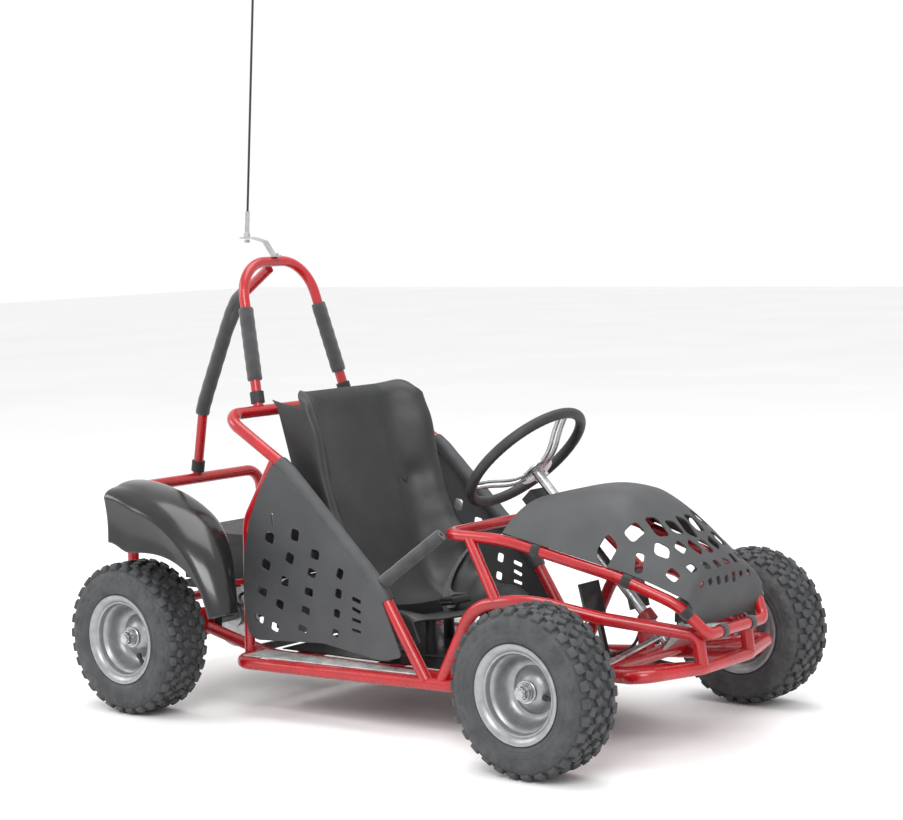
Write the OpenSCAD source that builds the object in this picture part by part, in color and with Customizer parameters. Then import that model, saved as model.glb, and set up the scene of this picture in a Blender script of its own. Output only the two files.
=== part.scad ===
/* [Wheels] */
// Distance between the front and rear wheel centres
wheelbase = 1030; // [1000:5:1060]
// Outside diameter of a tyre
tyre_d = 320; // [310:5:330]
// Width of a tyre
tyre_w = 120; // [110:2:126]
// Outside diameter of the rim flange
flange_d = 188; // [180:2:192]
// Distance from the centre line to the outer face of a front tyre
front_face_y = 432; // [428:1:440]
// Distance from the centre line to the outer face of a rear tyre
rear_face_y = 444; // [440:1:452]

/* [Frame] */
// Diameter of the main frame tubes
tube_d = 25; // [24:0.5:26]
// Diameter of the hood rails, posts and roll bar
slim_d = 22; // [20:0.5:23]
// Height of the floor tubes above the ground, to their centre line
floor_z = 110; // [105:1:115]
// Distance from the centre line to the floor side rails
rail_y = 205; // [195:1:210]
// Distance from the centre line to the legs of the shoulder hoop
hoop_y = 250; // [245:1:255]
// Height of the cross tube behind the shoulders
hoop_z = 618; // [600:2:630]
// Height of the roll bar's centre line at the top
roll_z = 931; // [900:5:960]
// Height of the rear hoop's cross tube
rear_hoop_z = 440; // [420:5:450]
// Distance from the origin forward to the lower nose tube
nose_x = 692; // [685:1:700]
// Distance from the origin forward to the front cross tube under the hood
front_x = 716; // [710:1:720]

/* [Seat] */
// Width of the seat back across its wings
seat_w = 390; // [370:5:400]
// Wall thickness of the seat shell
seat_t = 8; // [6:1:10]

/* [Steering] */
// Outside diameter of the steering wheel
wheel_ring_d = 290; // [270:5:300]
// Angle of the steering column from the vertical
column_tilt = 44; // [43:1:45]
// Diameter of the steering column
column_d = 20; // [18:1:22]

/* [Flag whip] */
// Length of the whip above its clamp
whip_l = 560; // [500:10:700]
// Diameter of the whip
whip_d = 5; // [4:0.5:6]

/* [Hidden] */
$fn = 32;

red = "firebrick";
black = "dimgray";
steel = "silver";

tube_r = tube_d / 2;
slim_r = slim_d / 2;
strap_t = 3;
rear_hoop_x = front_x + slim_r + strap_t - tube_r;
axle_x = wheelbase / 2;
wheel_z = tyre_d / 2;
clear = 0.3;
tyre_half = tyre_w / 2;
front_y = front_face_y - tyre_half;
rear_y = rear_face_y - tyre_half;

// Steering geometry
column_dir = [sin(column_tilt), 0, -cos(column_tilt)];
arm_dir = [cos(column_tilt), 0, sin(column_tilt)];
column_end = [560, 0, 188];
column_l = 440;
column_top = column_end - column_l * column_dir;
ring_centre = column_end - 478 * column_dir;
pitman_l = 36;
pitman_end = column_end + pitman_l * arm_dir;
pitman_half_y = 18;
kingpin_y = 285;
arm_end = [axle_x + 70, 268, 184];

// Pedal pivots
pedal_at = [470, 0, 163];
pedal_y = 74;

// Rear axle
rear_axle_d = 25;
carrier_y = rail_y;
sprocket_y = 95;
sprocket_r = 69;
disc_y = -95;
motor_at = [-385, 0, 192];
pinion_r = 11.5;

function unit(v) = v / norm(v);
function mirror_y(p) = [p.x, -p.y, p.z];
function reversed(list) = [for (i = [len(list) - 1:-1:0]) list[i]];
function turn(p, i) = acos(unit(p[i] - p[i - 1]) * unit(p[i + 1] - p[i]));
// Length that a bend takes from the straight tube on each side of a corner
function setback(p, r, i) = i == 0 || i == len(p) - 1 ? 0 : r[i - 1] * tan(turn(p, i) / 2);

// Carries the Z axis onto the line from a to b
module along(a, b) {
    d = b - a;
    translate(a) rotate([0, acos(d.z / norm(d)), atan2(d.y, d.x)]) children();
}

module rod(a, b, d) {
    along(a, b) cylinder(h = norm(b - a), d = d);
}

// Ring of bore d and outside diameter big round the line from a to b
module sleeve(a, b, d, big) {
    along(a, b) difference() {
        cylinder(h = norm(b - a), d = big);
        translate([0, 0, -1]) cylinder(h = norm(b - a) + 2, d = d);
    }
}

// Elbow at corner i of the path p, a hair wider than its tube, like a pressed bend
module elbow(p, r, i, d) {
    u = unit(p[i] - p[i - 1]);
    v = unit(p[i + 1] - p[i]);
    c = p[i] + r[i - 1] / cos(turn(p, i) / 2) * unit(v - u);
    ex = unit(p[i] - setback(p, r, i) * u - c);
    ez = cross(ex, u);
    multmatrix([
        [ex.x, u.x, ez.x, c.x],
        [ex.y, u.y, ez.y, c.y],
        [ex.z, u.z, ez.z, c.z],
        [0, 0, 0, 1]
    ]) rotate_extrude(angle = turn(p, i), $fn = 64)
        translate([r[i - 1], 0]) circle(d = d + 0.4, $fn = 32);
}

// Round tube along the corners p, with one bend radius in r for each inner corner
module bent_tube(p, r, d) {
    last = len(p) - 1;
    for (i = [0:last - 1]) {
        u = unit(p[i + 1] - p[i]);
        a = p[i] + (setback(p, r, i) - (i > 0 ? 1 : 0)) * u;
        b = p[i + 1] - (setback(p, r, i + 1) - (i + 1 < last ? 1 : 0)) * u;
        rod(a, b, d);
    }
    for (i = [1:last - 1]) elbow(p, r, i, d);
}

module left() {
    mirror([0, 1, 0]) children();
}

// ---- Frame ----

rail_path = [
    [-axle_x + 22, -rail_y, 153], [-300, -rail_y, floor_z],
    [250, -190, floor_z], [nose_x - 12, -84, 168]
];

// Each rail is in two lengths, welded into the front and the back of its axle carrier
module floor_rail() {
    bent_tube(rail_path, [300, 200], tube_d);
    rod([-axle_x - 22, -rail_y, 164], [-rear_hoop_x - slim_r, -rail_y, 172], tube_d);
}

module floor_frame() {
    color(red) {
        floor_rail();
        left() floor_rail();
        for (x = [-240, -20, 200]) rod([x, -186, floor_z], [x, 186, floor_z], slim_d);
        rod([-rear_hoop_x, 4 - rail_y, 172], [-rear_hoop_x, rail_y - 4, 172], slim_d);
        // Pedal cross tube with its pivot ears and pins
        rod([pedal_at.x, -134, 139], [pedal_at.x, 134, 139], slim_d);
        for (y = [-pedal_y, pedal_y]) {
            for (s = [-1, 1])
                translate([pedal_at.x - 9, y + 17.5 * s - 2, 139]) cube([18, 4, 34]);
            rod([pedal_at.x, y - 22, pedal_at.z], [pedal_at.x, y + 22, pedal_at.z], 10);
        }
    }
}

step_path = [
    [-330, -rail_y, floor_z + 5], [-312, -298, floor_z], [224, -244, floor_z],
    [246, -196, floor_z]
];
post_path = [[-321, -hoop_y, floor_z + 5], [-314, -hoop_y, 400], [-230, -hoop_y, 531]];

module side_frame() {
    bent_tube(step_path, [38, 24], tube_d);
    bent_tube(post_path, [90], slim_d);
    // Stay for the mudguard
    rod([-324, -hoop_y, 272], [-332, 2 - guard_y - guard_t, 276], 12);
}

module side_frame_right() {
    color(red) side_frame();
}

module side_frame_left() {
    color(red) left() side_frame();
}

nose_side = [[500, -140, 145], [652, -236, 172], [nose_x, -81, 168]];
nose_path = concat(nose_side, [for (p = reversed(nose_side)) mirror_y(p)]);

module nose_hoop() {
    color(red) bent_tube(nose_path, [36, 70, 70, 36], tube_d);
}

mid_path = [
    [192, -243, floor_z + 5], [274, -240, 272], [405, -240, 296],
    [530, -178, 262], [nose_x - 8, -84, 230], [nose_x, -82, 172]
];
post_top = [236, -198, 394];
post_foot = [332, -241, 285];

module mid_rail() {
    bent_tube(mid_path, [90, 180, 200, 26], tube_d);
    rod(post_foot, post_top, slim_d);
}

module mid_rail_right() {
    color(red) mid_rail();
}

module mid_rail_left() {
    color(red) left() mid_rail();
}

hood_path = [
    [165, 0, 398], [165, -194, 398], [320, -196, 398], [560, -162, 340], [676, -130, 292],
    [front_x, -98, 236], [front_x, 0, 236]
];

module hood_rail() {
    bent_tube(hood_path, [46, 300, 300, 110, 24], slim_d);
}

module hood_rail_right() {
    color(red) hood_rail();
}

module hood_rail_left() {
    color(red) left() hood_rail();
}

// Arch under the hood and the cross tube that carries the upper column bearing
arch_x = 400;
arch_foot = [arch_x, -182, 384];
arch_top = [arch_x - 2, -124, 441];
arch_path = [arch_foot, arch_top, mirror_y(arch_top), mirror_y(arch_foot)];
bearing_at = 331;

module dash_hoop() {
    color(red) {
        bent_tube(arch_path, [60, 60], slim_d);
        difference() {
            union() {
                rod([330, -187, 392], [330, 187, 392], slim_d);
                rod(
                    column_end - (bearing_at + 12) * column_dir,
                    column_end - (bearing_at - 12) * column_dir, column_d + 14
                );
            }
            rod(
                column_end - (bearing_at + 40) * column_dir,
                column_end - (bearing_at - 40) * column_dir, column_d + 0.1
            );
        }
    }
}

hoop_side = [
    [160, -hoop_y, floor_z + 5], [48, -hoop_y, 288], [-200, -hoop_y, 518], [-372, -hoop_y, hoop_z]
];
hoop_path = concat(hoop_side, [for (p = reversed(hoop_side)) mirror_y(p)]);

module shoulder_hoop() {
    color(red) bent_tube(hoop_path, [120, 240, 48, 48, 240, 120], tube_d);
}

rear_leg = [[-rear_hoop_x, -rail_y, 176], [-rear_hoop_x, -rail_y, rear_hoop_z]];
rear_path = concat(rear_leg, [for (p = reversed(rear_leg)) mirror_y(p)]);

module guard_stay() {
    rod([-rear_hoop_x, -rail_y, 380], [-548, 2 - guard_y - guard_t, 420], 12);
}

module rear_hoop() {
    color(red) {
        bent_tube(rear_path, [46, 46], tube_d);
        guard_stay();
        left() guard_stay();
    }
}

roll_foot = [-377, -141, hoop_z + 5];
roll_corner = [-456, -102, roll_z];
roll_path = [roll_foot, roll_corner, mirror_y(roll_corner), mirror_y(roll_foot)];

module roll_bar() {
    color(red) bent_tube(roll_path, [86, 86], slim_d);
}

brace_top = [-468, 0, 916];
brace_path = [
    brace_top, [-578, 0, 840], [-688, 0, 608],
    [-rear_hoop_x, 0, rear_hoop_z + 5]
];

module roll_brace() {
    color(red) bent_tube(brace_path, [90, 150], slim_d);
}

brace_end = unit(brace_path[2] - brace_path[3]);

// Point a given way along the right leg of the roll bar
function leg_at(way) = roll_foot + way * unit(roll_corner - roll_foot);

module roll_socket() {
    color(black) sleeve(leg_at(12), leg_at(36), slim_d + 2 * clear, slim_d + 8);
}

module roll_sockets() {
    roll_socket();
    left() roll_socket();
    color(black) sleeve(
        brace_path[3] + 12 * brace_end, brace_path[3] + 36 * brace_end, slim_d + 2 * clear, slim_d + 8
    );
}

pad_d = 33;

module leg_pad() {
    color(black) sleeve(leg_at(62), leg_at(220), slim_d + 2 * clear, pad_d);
}

module pad_right() {
    leg_pad();
}

module pad_left() {
    left() leg_pad();
}

module pad_brace() {
    d_top = unit(brace_path[1] - brace_path[0]);
    d_low = unit(brace_path[3] - brace_path[2]);
    p = [
        brace_path[1] - 36 * d_top, brace_path[1], brace_path[2], brace_path[2] + 20 * d_low
    ];
    color(black) difference() {
        bent_tube(p, [90, 150], pad_d);
        bent_tube(
            [p[0] - 2 * d_top, p[1], p[2], p[3] + 2 * d_low], [90, 150], slim_d + 2 * clear
        );
    }
}

// Padded bar from the knee of the shoulder hoop up to the hood rail
bar_low = [56, -hoop_y, 302];
bar_high = [166, -214, 392];

module side_bar() {
    color(black) rod(bar_low, bar_high, 26);
}

module side_bar_right() {
    side_bar();
}

module side_bar_left() {
    left() side_bar();
}

// ---- Flag whip ----

strip_t = 3;
strip_w = 18;
strip_line = [[-436, 0], [-452, 0], [-477, 32], [-516, 41], [-546, 41]];
whip_dir = unit([85, 0, 1000]);
whip_foot = [-532, 0, roll_z + slim_r + 44];
whip_top = whip_foot + whip_l * whip_dir;

module flag_bracket() {
    color(steel) {
        // Bent strip bolted on top of the roll bar
        translate([0, 0, roll_z + slim_r - 0.5]) rotate([90, 0, 0])
            linear_extrude(strip_w, center = true)
                polygon(concat(strip_line, [for (p = reversed(strip_line)) p + [0, strip_t]]));
        translate([-444, 0, roll_z + slim_r + 2]) cylinder(h = 5, d = 11, $fn = 6);
        // Bolt, nut and forked clamp that hold the whip
        translate(whip_foot - [0, 0, 13]) cylinder(h = 7, d = 13, $fn = 6);
        rod(whip_foot - 4 * whip_dir, whip_foot + 8 * whip_dir, 14);
        sleeve(whip_foot + 6 * whip_dir, whip_foot + 56 * whip_dir, whip_d, 10);
    }
}

module flag_whip() {
    color("black") {
        rod(whip_foot + 10 * whip_dir, whip_top, whip_d);
        along(whip_top, whip_top + whip_dir) cylinder(h = 4, d1 = whip_d, d2 = whip_d / 2);
    }
}

// ---- Seat ----

seat_line = [
    [-262, 664], [-205, 480], [-165, 330], [-140, 252], [-92, 206], [-20, 196], [86, 214]
];
seat_half = seat_w / 2;
// The wings' lower edge runs inside the thickness of the pan and the back
wing_line = [
    [-254, 650], [-190, 640], [-160, 600], [-152, 470], [-128, 392], [-64, 318], [30, 262],
    [90, 236], [80, 209], [-20, 192], [-95, 202], [-144, 249], [-169, 327], [-209, 477]
];
foot_tops = [[-60, 196.5], [40, 202]];

module seat_shell() {
    foot_z = pan_z + pan_t;
    color(black) {
        rotate([90, 0, 0]) linear_extrude(seat_w - 4 * seat_t, center = true)
            polygon(concat(seat_line, [for (p = reversed(seat_line)) p - [0.35 * seat_t, seat_t]]));
        for (s = [-1, 1])
            translate([0, s * (seat_half - 1.75 * seat_t), 0]) rotate([90, 0, 0])
                linear_extrude(seat_t, center = true) polygon(wing_line);
        // Feet on the floor pan
        for (p = foot_tops) for (y = [-90, 90])
            translate([p.x, y, foot_z]) cylinder(h = p.y - foot_z, d = 24);
    }
}

module seat_belt() {
    color("gray") {
        hull() {
            translate([-96, -168, 240]) cube([4, 2, 40]);
            translate([-40, -124, 203]) cube([40, 30, 3]);
        }
        hull() {
            translate([-40, -124, 203]) cube([40, 30, 3]);
            translate([6, -46, 213]) cube([40, 20, 3]);
        }
        hull() {
            translate([-96, 166, 240]) cube([4, 2, 40]);
            translate([-40, 94, 203]) cube([40, 30, 3]);
        }
        hull() {
            translate([-40, 94, 203]) cube([40, 30, 3]);
            translate([6, 38, 213]) cube([40, 20, 3]);
        }
    }
}

module belt_buckle() {
    color(black) translate([2, -25.5, 212]) cube([46, 63, 16]);
}

// ---- Soft covers ----

skin_t = 3;
panel_y = hoop_y + tube_r + clear;
panel_line = [
    [-222, 528], [-262, 470], [-294, 404], [-313, 334], [-319, 245], [-310, 172], [-288, 154],
    [-99, 166], [60, 146], [112, 158], [46, 306], [-4, 356], [-60, 410], [-118, 458], [-176, 504]
];

// Straight of the shoulder hoop that the cover's upper edge is wrapped round
wrap_from = [24, -hoop_y, 310];
wrap_to = [-140, -hoop_y, 462];

module side_panel() {
    color(black) {
        translate([0, -panel_y, 0]) rotate([90, 0, 0]) linear_extrude(skin_t) polygon(panel_line);
        sleeve(wrap_from, wrap_to, tube_d + 0.8, tube_d + 2 * skin_t + 1);
    }
}

module side_panel_right() {
    side_panel();
}

module side_panel_left() {
    left() side_panel();
}

// The hood runs from u = 0 over the arch to u = 1 at the front edge, then down its chin to u = 1.4
hood_back_x = 318;
hood_front_x = nose_x + 2;
chin_z = 252;

function rail_edge_y(x) = x < 560 ? 196 - 34 * pow(max(0, x - 320) / 240, 1.4) : 162;
function rail_edge_z(x) =
    x < 320 ? 416 : x < 560 ? 416 - 54 * pow((x - 320) / 240, 1.1) : 362 - 20 * (x - 560) / 135;
function crown_z(x) =
    468 + 22 * sin(180 * (x - hood_back_x) / 240 * 0.9) - 96 * pow(max(0, x - 500) / 195, 1.4);
function hood_point(u, v) =
    let (x = hood_back_x + (hood_front_x - hood_back_x) * min(u, 1))
    let (drop = max(0, u - 1) / 0.4)
    let (w = rail_edge_y(x) * (1 - drop) + 104 * drop)
    let (z = rail_edge_z(x) + (crown_z(x) - rail_edge_z(x)) * (1 - pow(abs(v), 3)))
    [x + 6 * sin(180 * drop), v * w, z * (1 - drop) + chin_z * drop];

hood_u = [for (k = [0:14]) k / 14, 1.13, 1.27, 1.4];
hood_v = [for (k = [-8:8]) k / 8];

module hood() {
    n = len(hood_u);
    m = len(hood_v);
    top = [for (u = hood_u) for (v = hood_v) hood_point(u, v)];
    low = [for (u = hood_u) for (v = hood_v) hood_point(u, v) - [u > 1 ? skin_t : 0, 0, skin_t]];
    quads = [for (i = [0:n - 2]) for (j = [0:m - 2]) let (k = i * m + j) [k, k + 1, k + m + 1, k + m]];
    edge = concat(
        [for (j = [0:m - 1]) j], [for (i = [1:n - 1]) i * m + m - 1],
        [for (j = [m - 2:-1:0]) (n - 1) * m + j], [for (i = [n - 2:-1:1]) i * m]
    );
    k = n * m;
    color(black) polyhedron(
        concat(top, low),
        concat(
            [for (q = quads) [q[0], q[1], q[2]]], [for (q = quads) [q[0], q[2], q[3]]],
            [for (q = quads) [q[2] + k, q[1] + k, q[0] + k]],
            [for (q = quads) [q[3] + k, q[2] + k, q[0] + k]],
            [for (i = [0:len(edge) - 1]) let (a = edge[i], b = edge[(i + 1) % len(edge)])
                [b, a, a + k]],
            [for (i = [0:len(edge) - 1]) let (a = edge[i], b = edge[(i + 1) % len(edge)])
                [b, a + k, b + k]]
        )
    );
}

module rail_strap(i, way) {
    a = hood_path[i];
    u = unit(hood_path[i + 1] - a);
    sleeve(a + way * u, a + (way + 18) * u, slim_d + 2 * clear, slim_d + 2 * strap_t);
}

module strap_set() {
    rail_strap(2, 64);
    rail_strap(3, 10);
    rail_strap(4, 10);
    rail_strap(5, 40);
}

module hood_straps() {
    color(black) {
        strap_set();
        left() strap_set();
    }
}

// ---- Floor, steps and mudguards ----

pan_t = 2;
pan_z = floor_z + slim_r + 1;

hole_d = 8.5;
hole_x = [300, 380];
hole_y = [-60, 60];

module floor_pan() {
    color(black) difference() {
        translate([0, 0, pan_z]) linear_extrude(pan_t) polygon([
            [-285, -190], [240, -176], [500, -112], [500, 112], [240, 176], [-285, 190]
        ]);
        // Holes for a foot rest
        for (x = hole_x) for (y = hole_y) translate([x, y, pan_z - 1]) cylinder(h = pan_t + 2, d = hole_d);
    }
}

module tread_plate() {
    color(steel) translate([0, 0, floor_z + tube_r + 0.3]) linear_extrude(2.5)
        polygon([[-302, -222], [-302, -290], [132, -247], [132, -222]]);
}

module tread_plate_right() {
    tread_plate();
}

module tread_plate_left() {
    left() tread_plate();
}

guard_t = 4;
guard_y = 310;
guard_from = 14;
guard_to = 95;
// Outside of the mudguard's section, as distance from the axle and distance from the centre line
guard_line = [
    [200, guard_y], [288, guard_y], [312, 318], [322, 340], [321, 384], [311, 412], [296, 434],
    [286, rear_face_y]
];
guard_inside = [
    [282, rear_face_y - guard_t], [292.5, 431.5], [307.5, 410], [317, 383], [318, 341],
    [309.5, 321.5], [287, guard_y + guard_t], [200, guard_y + guard_t]
];

module mudguard() {
    color(black) translate([-axle_x, 0, wheel_z]) rotate([90, 0, 0]) {
        rotate([0, 0, guard_from]) rotate_extrude(angle = guard_to - guard_from, $fn = 96)
            polygon(concat(guard_line, guard_inside));
        // Outer skirt, deep at the back and running out towards the front
        translate([0, 0, rear_face_y - guard_t]) linear_extrude(guard_t - 0.4) intersection() {
            difference() {
                circle(r = 285, $fn = 96);
                circle(r = 193, $fn = 96);
            }
            polygon([
                [-22, 340], [-17, 180], [40, 205], [110, 225], [170, 208], [235, 145],
                [300, 130], [300, 340]
            ]);
        }
    }
}

module mudguard_right() {
    mudguard();
}

module mudguard_left() {
    left() mudguard();
}

// ---- Electric drive and brake ----

box_x = -630;
box_l = 210;
box_w = 264;
box_z = 238;
box_h = 108;

module battery_box() {
    color(black) {
        translate([box_x, -box_w / 2, box_z]) cube([box_l, box_w, box_h - 20]);
        translate([box_x - 4, -box_w / 2 - 4, box_z + box_h - 20]) cube([box_l + 8, box_w + 8, 20]);
        // Tray legs down to the floor rails
        for (y = [-1, 1]) translate([box_x + 20, y * (box_w / 2 + 30) - 32, box_z - 6]) cube([150, 64, 6]);
        for (y = [-1, 1]) for (x = [box_x + 24, box_x + 150])
            translate([x, y * (rail_y - tube_r - 1) - 3, 146]) cube([16, 6, 88]);
    }
}

module dash_box() {
    color("black") {
        translate([262, 0, 446]) rotate([0, 46, 0]) cube([44, 56, 30], center = true);
        // Strap that holds it on the bearing cross tube
        rotate([90, 0, 0]) linear_extrude(30, center = true)
            polygon([[262, 436], [276, 424], [308, 412], [332, 404], [332, 407], [309, 415], [278, 428]]);
    }
}

module motor() {
    color("dimgray") {
        translate(motor_at - [0, 46, 0]) rotate([-90, 0, 0]) cylinder(h = 112, d = 104, $fn = 48);
        translate(motor_at + [0, 66, 0]) rotate([-90, 0, 0]) difference() {
            cylinder(h = 8, d = 70, $fn = 48);
            translate([0, 0, -1]) cylinder(h = 10, d = 12.1);
        }
        // Mounting plate on the floor side of the motor
        translate([motor_at.x - 60, -40, motor_at.z - 66]) cube([120, 100, 16]);
        translate([motor_at.x + 40, 11 - rail_y, motor_at.z - 78]) cube([12, 2 * rail_y - 22, 14]);
    }
}

module drive_chain() {
    ring = 5;
    color("gray") translate([0, sprocket_y, 0]) rotate([-90, 0, 0]) linear_extrude(6, center = true)
        difference() {
            hull() {
                translate([-axle_x, -wheel_z]) circle(r = sprocket_r + ring + 1, $fn = 64);
                translate([motor_at.x, -motor_at.z]) circle(r = pinion_r + ring + 1);
            }
            hull() {
                translate([-axle_x, -wheel_z]) circle(r = sprocket_r + 1, $fn = 64);
                translate([motor_at.x, -motor_at.z]) circle(r = pinion_r + 1);
            }
        }
}

// Bearing carrier between the rear axle and a floor rail
module axle_carrier() {
    color(red) translate([-axle_x, -carrier_y, wheel_z]) rotate([90, 0, 0]) {
        difference() {
            cylinder(h = 28, d = 62, center = true, $fn = 48);
            cylinder(h = 40, d = rear_axle_d + 0.1, center = true, $fn = 48);
        }
    }
}

module axle_carrier_right() {
    axle_carrier();
}

module axle_carrier_left() {
    left() axle_carrier();
}

module brake_caliper() {
    color(steel) translate([-axle_x + 62, disc_y, wheel_z + 30]) difference() {
        translate([-18, -20, -26]) cube([46, 40, 60]);
        translate([-30, -2.5, -40]) cube([46, 5, 88]);
    }
}

module rear_axle() {
    end_y = rear_face_y - 19;
    color(steel) {
        translate([-axle_x, 0, wheel_z]) rotate([90, 0, 0]) {
            cylinder(h = 2 * (end_y - 20), d = rear_axle_d, center = true, $fn = 48);
            for (s = [-1, 1]) {
                translate([0, 0, s * (end_y - 10)]) cylinder(h = 20, d = 16, center = true);
                translate([0, 0, s * (end_y - 8.5)]) cylinder(h = 12, d = 27, center = true, $fn = 6);
            }
            // Sprocket
            translate([0, 0, -sprocket_y]) cylinder(h = 4, r = sprocket_r, center = true, $fn = 54);
            translate([0, 0, -sprocket_y]) cylinder(h = 18, r = 28, center = true);
            // Brake disc
            translate([0, 0, -disc_y]) cylinder(h = 3, r = 72, center = true, $fn = 64);
            translate([0, 0, -disc_y]) cylinder(h = 18, r = 26, center = true);
        }
    }
}

module motor_pinion() {
    color(steel) translate(motor_at) rotate([-90, 0, 0]) {
        translate([0, 0, 67]) cylinder(h = 36, d = 12);
        translate([0, 0, sprocket_y - 3]) cylinder(h = 6, r = pinion_r);
    }
}

// ---- Steering ----

module front_beam() {
    reach = kingpin_y - 30;
    color(red) {
        rod([axle_x, -reach, wheel_z], [axle_x, reach, wheel_z], 30);
        for (s = [-1, 1]) {
            translate([axle_x - 20, s * reach - 3, wheel_z - 36]) cube([40, 6, 72]);
            for (z = [-36, 30])
                translate([axle_x - 20, s > 0 ? reach : -reach - 50, wheel_z + z]) cube([40, 50, 6]);
            rod([axle_x, s * kingpin_y, wheel_z - 42], [axle_x, s * kingpin_y, wheel_z + 42], 10);
        }
        // Lower column bearing on its post
        difference() {
            union() {
                translate([axle_x - 14, -14, wheel_z + 8]) cube([20, 28, 64]);
                translate(column_end - 76 * column_dir) along([0, 0, 0], column_dir)
                    cylinder(h = 22, d = column_d + 14);
            }
            translate(column_end - 120 * column_dir) along([0, 0, 0], column_dir)
                cylinder(h = 110, d = column_d + 0.1);
        }
    }
}

module steering_wheel() {
    ring_r = wheel_ring_d / 2 - 11;
    color("black") translate(ring_centre) rotate([0, 180 - column_tilt, 0]) {
        rotate_extrude($fn = 72) translate([ring_r, 0]) circle(r = 11, $fn = 24);
    }
    color(steel) translate(ring_centre) rotate([0, 180 - column_tilt, 0]) {
        translate([0, 0, 34]) cylinder(h = 4, d = 74, $fn = 48);
        for (a = [60, 180, 300]) for (s = [-10, 10])
            rotate([0, 0, a]) rod([28, s, 36], [ring_r - 7, s, 4], 9);
    }
}

module steering_column() {
    color(steel) {
        rod(column_top, column_end, column_d);
        // Pitman plate
        hull() {
            translate(column_end) along([0, 0, 0], column_dir) cylinder(h = 5, d = 30);
            for (s = [-1, 1]) translate(pitman_end + [0, s * pitman_half_y, 0])
                along([0, 0, 0], column_dir) cylinder(h = 5, d = 18);
        }
    }
}

module knuckle() {
    color(red) {
        difference() {
            union() {
                translate([axle_x, -kingpin_y, wheel_z - 29.5]) cylinder(h = 59, d = 26);
                // Steering arm
                hull() {
                    translate([axle_x, -kingpin_y, wheel_z + 12]) cylinder(h = 7, d = 26);
                    translate([arm_end.x, -arm_end.y, wheel_z + 12]) cylinder(h = 7, d = 18);
                }
            }
            translate([axle_x, -kingpin_y, wheel_z - 40]) cylinder(h = 80, d = 10.1);
        }
        // Spindle, its washer and nut
        rod([axle_x, -kingpin_y - 11, wheel_z], [axle_x, -front_face_y + 19, wheel_z], 16);
        rod([axle_x, -front_y - 26.5, wheel_z], [axle_x, -front_y - 30, wheel_z], 30);
        translate([axle_x, -front_y - 29, wheel_z]) rotate([90, 0, 0])
            cylinder(h = 11, d = 26, $fn = 6);
    }
}

module knuckle_right() {
    knuckle();
}

module knuckle_left() {
    left() knuckle();
}

rod_z = wheel_z + 19 + 7;
rod_out = [arm_end.x, -arm_end.y, rod_z];
rod_in = [pitman_end.x, -pitman_half_y, pitman_end.z] - 8 * column_dir;

module tie_rod() {
    reach = unit(rod_in - rod_out);
    color(steel) {
        rod(rod_out + 6 * reach, rod_in - 9 * reach, 10);
        translate(rod_out) cylinder(h = 13, d = 18, center = true);
        translate(rod_in) along([0, 0, 0], column_dir) cylinder(h = 12, d = 16, center = true);
    }
}

module tie_rod_right() {
    tie_rod();
}

module tie_rod_left() {
    left() tie_rod();
}

// ---- Pedals ----

module pedal(y) {
    color("black") translate([pedal_at.x, y, pedal_at.z]) rotate([0, -14, 0]) {
        rotate([90, 0, 0]) difference() {
            cylinder(h = 30, d = 20, center = true);
            cylinder(h = 32, d = 10.1, center = true);
        }
        translate([-4, -6, 8]) cube([8, 12, 74]);
        translate([-8, -32, 76]) cube([5, 64, 74]);
    }
}

module throttle_pedal() {
    pedal(-pedal_y);
}

module brake_pedal() {
    pedal(pedal_y);
}

cable_path = [
    [-axle_x + 50, disc_y, wheel_z + 60], [-436, -170, 216], [-330, -178, floor_z + 34],
    [250, -160, floor_z + 34], [452, 40, floor_z + 42], [452, 66, 196]
];

module brake_cable() {
    color("black") bent_tube(cable_path, [40, 60, 60, 50], 6);
}

// ---- Wheels ----

tread_r = tyre_d / 2;
tyre_line = [
    [80, 44], [93, 44], [95, 54], [110, 59], [130, tyre_half], [146, 56], [156, 48],
    [tread_r, 38], [tread_r, -38], [156, -48], [146, -56], [130, -tyre_half], [110, -59],
    [95, -54], [93, -44], [80, -44], [80, -30], [96, -34], [110, -48], [134, -48],
    [146, -34], [146, 34], [134, 48], [110, 48], [96, 34], [80, 30]
];

// Places a wheel's parts, drawn with the axis along Z and the outer face up
module at_wheel(x, y) {
    translate([x, y, wheel_z]) rotate([y < 0 ? 90 : -90, 0, 0]) children();
}

module rim(bore_d) {
    color(steel) {
        difference() {
            rotate_extrude($fn = 64) polygon([
                [72, -44], [78, -42], [78, 42], [90, 47], [flange_d / 2, 50], [flange_d / 2, 53],
                [90, 55], [84, 50], [73, 44], [72, 24], [66, 6], [58, -6], [44, -8], [28, -4],
                [20, 12], [16, 26], [6, 26], [6, -20], [16, -20], [24, -12], [44, -13], [60, -12],
                [72, -4]
            ]);
            translate([0, 0, -60]) cylinder(h = 120, d = bore_d, $fn = 48);
        }
        rotate_extrude($fn = 64) polygon([
            [72, -44], [84, -50], [90, -55], [flange_d / 2, -53], [flange_d / 2, -50], [90, -47],
            [78, -42]
        ]);
    }
}

module tyre() {
    color("dimgray") rotate_extrude($fn = 96) polygon(tyre_line);
}

module rim_front_right() {
    at_wheel(axle_x, -front_y) rim(16.1);
}

module rim_front_left() {
    at_wheel(axle_x, front_y) rim(16.1);
}

module rim_rear_right() {
    at_wheel(-axle_x, -rear_y) rim(rear_axle_d);
}

module rim_rear_left() {
    at_wheel(-axle_x, rear_y) rim(rear_axle_d);
}

module tyre_front_right() {
    at_wheel(axle_x, -front_y) tyre();
}

module tyre_front_left() {
    at_wheel(axle_x, front_y) tyre();
}

module tyre_rear_right() {
    at_wheel(-axle_x, -rear_y) tyre();
}

module tyre_rear_left() {
    at_wheel(-axle_x, rear_y) tyre();
}

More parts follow.
